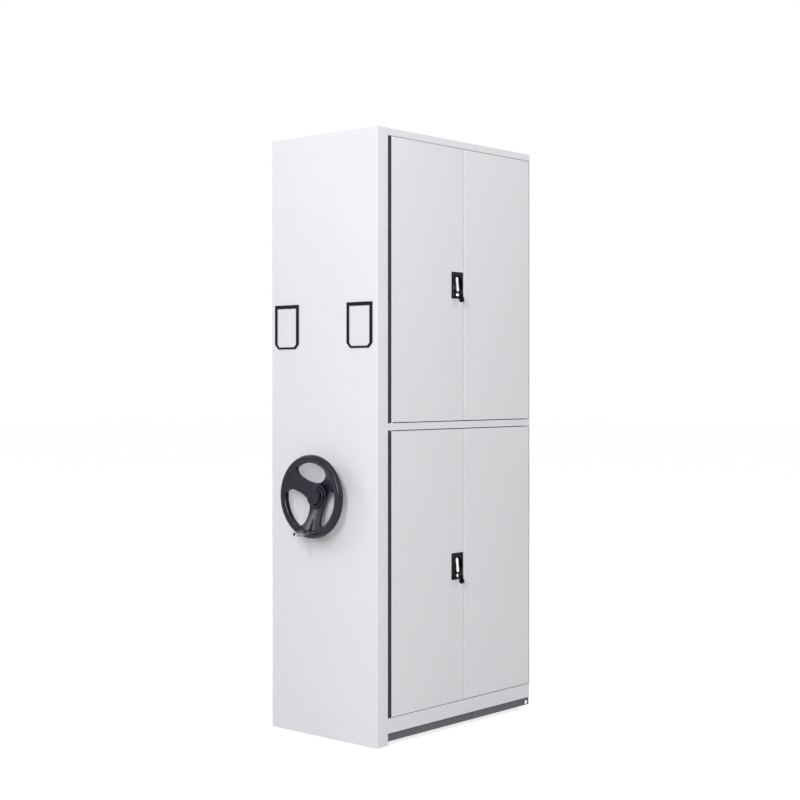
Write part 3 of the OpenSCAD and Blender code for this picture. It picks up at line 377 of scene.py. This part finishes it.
for level in LEVELS:
    softened([f"door_{level}_near", f"door_{level}_far"], width=0.0005)
    softened([f"lock_plate_{level}"], width=0.0008)
    softened([f"lock_lever_{level}"], width=0.0015)
    softened([f"key_head_{level}"], width=0.0012)
    softened([f"key_stem_{level}", f"lock_cam_{level}"], width=0.0003)
softened(["top_panel", "middle_rail", "base_rails", "end_panel"], width=0.0004)
softened(["label_frames"], width=0.0008)
softened(["chassis_sides", "chassis_cross_members"], width=0.0006)
softened(["chassis_bolts", "bearing_bolts", "shaft_bearings", "hub_bearings", "handwheel_sprocket",
          "shaft_sprocket", "drive_wheels", "idler_wheel_near", "idler_wheel_far"], width=0.0005)


# Handwheel

hub_at = Vector(joints["handwheel_turn"]["pos_m"])
crank_at = Vector(joints["crank_spin"]["pos_m"])
panel_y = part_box("end_panel")[0].y
OUTWARDS = (0, -1, 0)


def round_corner(centre, r, start, end, steps):
    """Points of an arc in a section, angles in degrees from the outward radius towards the front."""
    turns = [math.radians(start + (end - start) * k / steps) for k in range(steps + 1)]
    return [(centre[0] + r * math.cos(a), centre[1] + r * math.sin(a)) for a in turns]


def turned(name, section):
    """A black ring round the handwheel's axis. The section lists (radius, distance from the panel) in mm."""
    bm = bmesh.new()
    steps = 144
    rings = []
    for k in range(steps):
        a = 2 * math.pi * k / steps
        rings.append([bm.verts.new((hub_at.x + r * math.sin(a) / 1000, panel_y - out / 1000,
                                    hub_at.z + r * math.cos(a) / 1000)) for r, out in section])
    for a, b in zip(rings, rings[1:] + rings[:1]):
        for k in range(len(section)):
            j = (k + 1) % len(section)
            bm.faces.new((a[k], b[k], b[j], a[j]))
    return shown(name, finished(name, bm), "handwheel_black", "hand_drive")


def spoke_rib(bm):
    """Adds the rib on the lower spoke."""
    # Each station: (distance below the hub, half width, how far out of the panel)
    stations = [
        (0.078, 0.0010, 0.0440),
        (0.098, 0.0024, 0.0600),
        (0.113, 0.0040, 0.0690),
        (0.128, 0.0065, 0.0740),
    ]
    depth = 0.014
    rings = []
    for down, half, out in stations:
        z = hub_at.z - down
        corners = ((-half, out - depth), (-half, out), (half, out), (half, out - depth))
        rings.append([bm.verts.new((hub_at.x + side, panel_y - far, z)) for side, far in corners])
    for a, b in zip(rings, rings[1:]):
        for k in range(4):
            bm.faces.new((a[k], a[(k + 1) % 4], b[(k + 1) % 4], b[k]))
    bm.faces.new(rings[0])
    bm.faces.new(reversed(rings[-1]))


def drawn_under_rim(mesh):
    """Where the rim goes over the web, the web keeps only a core inside the rim; the crank's seat stays."""
    rim_from, core_radius = 0.1295, 0.150
    core_front, core_back = 0.066, 0.052
    seat_radius = 0.0168
    for vert in mesh.vertices:
        side, up = vert.co.x - hub_at.x, vert.co.z - hub_at.z
        r = math.hypot(side, up)
        from_crank = math.hypot(vert.co.x - crank_at.x, vert.co.z - crank_at.z)
        if r < rim_from or from_crank < seat_radius:
            continue
        inward = min(1.0, core_radius / r)
        vert.co.x, vert.co.z = hub_at.x + side * inward, hub_at.z + up * inward
        vert.co.y = min(max(vert.co.y, panel_y - core_front), panel_y - core_back)


def moulded_web():
    """The wheel's web with the rounded edges of a moulding, and the rib below its hub."""
    blank = bpy.data.objects.new("web_blank", cad["handwheel"].data.copy())
    bpy.context.scene.collection.objects.link(blank)
    bm = bmesh.new()
    bm.from_mesh(blank.data)
    spoke_rib(bm)
    bm.to_mesh(blank.data)
    bm.free()
    melt = blank.modifiers.new("melt", "REMESH")
    melt.mode = "VOXEL"
    melt.voxel_size = 0.0013
    smooth = blank.modifiers.new("smooth", "SMOOTH")
    smooth.factor = 0.5
    smooth.iterations = 5
    sink = blank.modifiers.new("sink", "DISPLACE")
    sink.strength = -0.0003
    sink.mid_level = 0.0
    lean = blank.modifiers.new("lean", "DECIMATE")
    lean.ratio = 0.35
    mesh = baked(blank, "handwheel_web")
    drawn_under_rim(mesh)
    return shown("handwheel_web", mesh, "handwheel_black", "hand_drive")


def handwheel_rim():
    """The rim: a flat front between an inner and an outer bevel, a curved flank and a full round back."""
    section = [(129.0, 57.0), (129.0, 66.0), (129.3, 68.4), (130.2, 70.2), (133.0, 72.6), (137.0, 74.9),
               (140.5, 75.8), (144.0, 76.0), (150.0, 76.0), (151.5, 75.6), (154.7, 73.1), (155.9, 71.6),
               (157.5, 68.2), (158.5, 64.4), (158.9, 60.6)]
    section += round_corner((149.0, 58.0), 10.0, 0, -90, 8)
    section += round_corner((139.0, 58.0), 10.0, -90, -180, 8)[:-1]
    return turned("handwheel_rim", section)


def handwheel_boss():
    """The hub's boss with a rounded shoulder, and the recess round its cap."""
    section = [(33.4, 40.0), (33.4, 43.6)]
    section += round_corner((34.4, 44.0), 1.0, 180, 90, 4)
    section += round_corner((38.6, 40.6), 4.4, 90, 0, 8)
    section += [(43.2, 36.0), (43.6, 32.0), (33.4, 32.0)]
    return turned("handwheel_boss", section)


def handwheel_cap():
    """The cap over the hub: its side tapers to the front, and the edge there is well rounded."""
    low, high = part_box("hub_cap")
    r = 1000 * (high.x - low.x) / 2
    back, front = 1000 * (panel_y - high.y), 1000 * (panel_y - low.y)
    edge, edge_in = 2.6, 6.4
    section = [(1.0, back), (r - 0.5, back), (r, back + 1)]
    section += round_corner((r - edge_in, front - edge), edge, 20, 90, 8)
    section += [(r * 0.6, front - 0.1), (1.0, front - 0.4)]
    return turned("handwheel_cap", section)


def crank_disc(name, profile, foot_y, slot):
    """A small round piece on the crank's axis, whose profile runs outwards from foot_y."""
    bm = bmesh.new()
    revolved(bm, profile, (crank_at.x, foot_y, crank_at.z), OUTWARDS)
    return shown(name, finished(name, bm), slot, "hand_drive")


def crank_collar():
    """Black collar round the foot of the crank's bolt, on the rim's seat."""
    r = 0.0088
    seat = 0.0785
    profile = [(0, 0), (r + 0.001, 0), (r, 0.002), (r - 0.0006, 0.0034), (r - 0.0018, 0.004), (0, 0.004)]
    return crank_disc("crank_collar", profile, panel_y - seat, "handwheel_black")


def crank_plug():
    """Black plug in the recess at the end of the crank."""
    r = 0.0063
    height = 0.0023
    end_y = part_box("crank_bolt")[0].y
    profile = [(0, 0), (r, 0), (r, 0.0014), (r - 0.0008, 0.0020), (r * 0.6, 0.0022), (0, height)]
    return crank_disc("crank_plug", profile, end_y + height, "black_plastic")


# Lip seals

SEAL_WIDTH = 0.0181
CORNER_CLEAR, LEAF_CLEAR = 0.0003, 0.0004
SEAL_END_GAP = 0.001
# Ribs of a seal's front, each: (distance from the panel's edge, depth behind the doors' face) in mm
RIBS = [(19.6, 0.7), (18.2, 0.9), (17.2, 1.9), (16.2, 2.2), (15.0, 1.6), (13.4, 1.5), (12.2, 2.2),
        (11.2, 2.9), (10.2, 2.5), (8.6, 2.6), (7.4, 3.5), (6.4, 5.2), (5.2, 6.0), (3.2, 8.5), (2.0, 11.0)]


def lip_seal(level):
    """The rubber strip beside a near door, its outer lip just clear of the door's swing."""
    low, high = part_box("dust_seals")
    door_low, door_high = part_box(f"door_{level}_near")
    face = door_high.x
    swing = joints[f"door_{level}_near_swing"]
    pin = Vector(swing["pos_m"])
    opened = math.radians(swing["range_deg"][1])
    reach = math.hypot(door_high.x - pin.x, door_low.y - pin.y) + CORNER_CLEAR
    panel_edge = high.y - SEAL_WIDTH

    def beside_swing(x):
        """Clear of the arc of the door's corner, and of the face of the open door."""
        arc = math.sqrt(reach ** 2 - (x - pin.x) ** 2)
        leaf = (face - pin.x + LEAF_CLEAR - math.cos(opened) * (x - pin.x)) / math.sin(opened)
        return pin.y - max(arc, leaf)

    outline = [(low.x, panel_edge + 0.002), (low.x, beside_swing(pin.x))]
    steps = 8
    tip = face - 0.0012
    for k in range(steps + 1):
        x = pin.x + k * (tip - pin.x) / steps
        outline.append((x, beside_swing(x)))
    for at, depth in RIBS:
        x = face - depth / 1000
        outline.append((x, min(panel_edge + at / 1000, beside_swing(x))))
    bm = bmesh.new()
    prism(bm, outline, door_low.z + SEAL_END_GAP, door_high.z - SEAL_END_GAP)
    return shown(f"lip_seal_{level}", finished(f"lip_seal_{level}", bm), "seal_rubber", "carriage")


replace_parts(moulded_web(), "handwheel")
handwheel_rim()
handwheel_boss()
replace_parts(handwheel_cap(), "hub_cap")
crank_collar()
crank_plug()
for level in LEVELS:
    seal = lip_seal(level)
    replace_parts(seal, "dust_seals")


# Stage: floor, lights and camera


def seen_directly(tree):
    """1 for what the camera, a reflection or a clear sheet sees, and 0 for the light that falls on things."""
    path = tree.nodes.new("ShaderNodeLightPath")
    seen = path.outputs["Is Camera Ray"]
    for ray in ("Is Glossy Ray", "Is Transmission Ray"):
        either = tree.nodes.new("ShaderNodeMath")
        either.operation = "MAXIMUM"
        tree.links.new(seen, either.inputs[0])
        tree.links.new(path.outputs[ray], either.inputs[1])
        seen = either.outputs[0]
    return seen


def flat_floor():
    """A matt floor that takes the shadow, and glows just enough to be seen white."""
    half = 40.0
    grey, paler = (0.5, 0.5, 0.5), (0.51, 0.51, 0.51)
    glow_strength = 0.78
    mesh = bpy.data.meshes.new("floor")
    corners = [(-half, -half, 0), (half, -half, 0), (half, half, 0), (-half, half, 0)]
    mesh.from_pydata(corners, [], [(0, 1, 2, 3)])
    obj = bpy.data.objects.new("floor", mesh)
    bpy.context.scene.collection.objects.link(obj)
    look = Shader("floor")
    matt = look.add("ShaderNodeBsdfDiffuse")
    tone = look.span(look.noise(scale=3.0, detail=3.0), 0.0, 1.0)
    look.link(look.between(tone, grey, paler), matt.inputs["Color"])
    glow = look.add("ShaderNodeEmission")
    strength = look.add("ShaderNodeMath", operation="MULTIPLY")
    strength.inputs[1].default_value = glow_strength
    look.link(seen_directly(look.tree), strength.inputs[0])
    look.link(strength.outputs[0], glow.inputs["Strength"])
    both = look.add("ShaderNodeAddShader")
    look.link(matt.outputs[0], both.inputs[0])
    look.link(glow.outputs[0], both.inputs[1])
    mesh.materials.append(look.done(both))


def white_world(ambient):
    """A white surround, of which only a share lights the object."""
    world = bpy.data.worlds.new("studio")
    world.use_nodes = True
    bpy.context.scene.world = world
    tree = world.node_tree
    back = tree.nodes["Background"]
    back.inputs["Color"].default_value = (1, 1, 1, 1)
    strength = tree.nodes.new("ShaderNodeMapRange")
    strength.inputs["To Min"].default_value = ambient
    strength.inputs["To Max"].default_value = 1.0
    tree.links.new(seen_directly(tree), strength.inputs["Value"])
    tree.links.new(strength.outputs["Result"], back.inputs["Strength"])


def area_light(name, at, towards, width, height, power):
    light = bpy.data.lights.new(name, "AREA")
    light.shape = "RECTANGLE"
    light.size, light.size_y = width, height
    light.energy = power
    obj = bpy.data.objects.new(name, light)
    bpy.context.scene.collection.objects.link(obj)
    obj.location = at
    obj.rotation_euler = (Vector(towards) - Vector(at)).to_track_quat("-Z", "Y").to_euler()


def photo_camera():
    """Level camera, 41.5 degrees round from the end panel's normal, at eye height."""
    cam = bpy.data.cameras.new("camera")
    cam.lens = 67.28
    cam.sensor_width = 36.0
    cam.shift_y = -0.0206
    cam.clip_end = 200.0
    obj = bpy.data.objects.new("camera", cam)
    bpy.context.scene.collection.objects.link(obj)
    panel_corner = Vector((0.263, -0.394, 0.0))
    obj.location = panel_corner + Vector((3.712, -4.070, 1.350))
    ahead = Vector((-0.66242, 0.74913, 0.0))
    obj.rotation_euler = ahead.to_track_quat("-Z", "Y").to_euler()
    bpy.context.scene.camera = obj


AMBIENT = 0.42
# Each lamp: (name, place, what it points at, width, height, watts)
LAMPS = [
    ("key", (2.2, -4.5, 3.0), (0.0, -0.4, 1.1), 0.8, 2.6, 108.0),
    ("fill", (3.4, -4.3, 1.9), (0.1, -0.3, 1.1), 1.2, 1.2, 36.0),
    ("soft_left", (-3.45, -3.5, 3.3), (0.0, -0.4, 1.1), 1.3, 1.3, 26.0),
    ("soft_right", (4.4, 1.9, 3.9), (0.26, 0.4, 1.8), 3.5, 3.5, 50.0),
    ("high", (0.2, -4.9, 6.2), (0.0, -0.4, 1.0), 3.0, 0.8, 42.0),
    ("overhead", (1.6, 0.4, 5.0), (0.1, 0.1, 1.6), 3.0, 3.0, 26.0),
    ("behind", (-4.2, 4.0, 3.6), (0.0, 0.2, 1.2), 3.0, 3.0, 70.0),
]

flat_floor()
white_world(AMBIENT)
for lamp in LAMPS:
    area_light(*lamp)
photo_camera()
bpy.context.scene.view_settings.view_transform = "Standard"
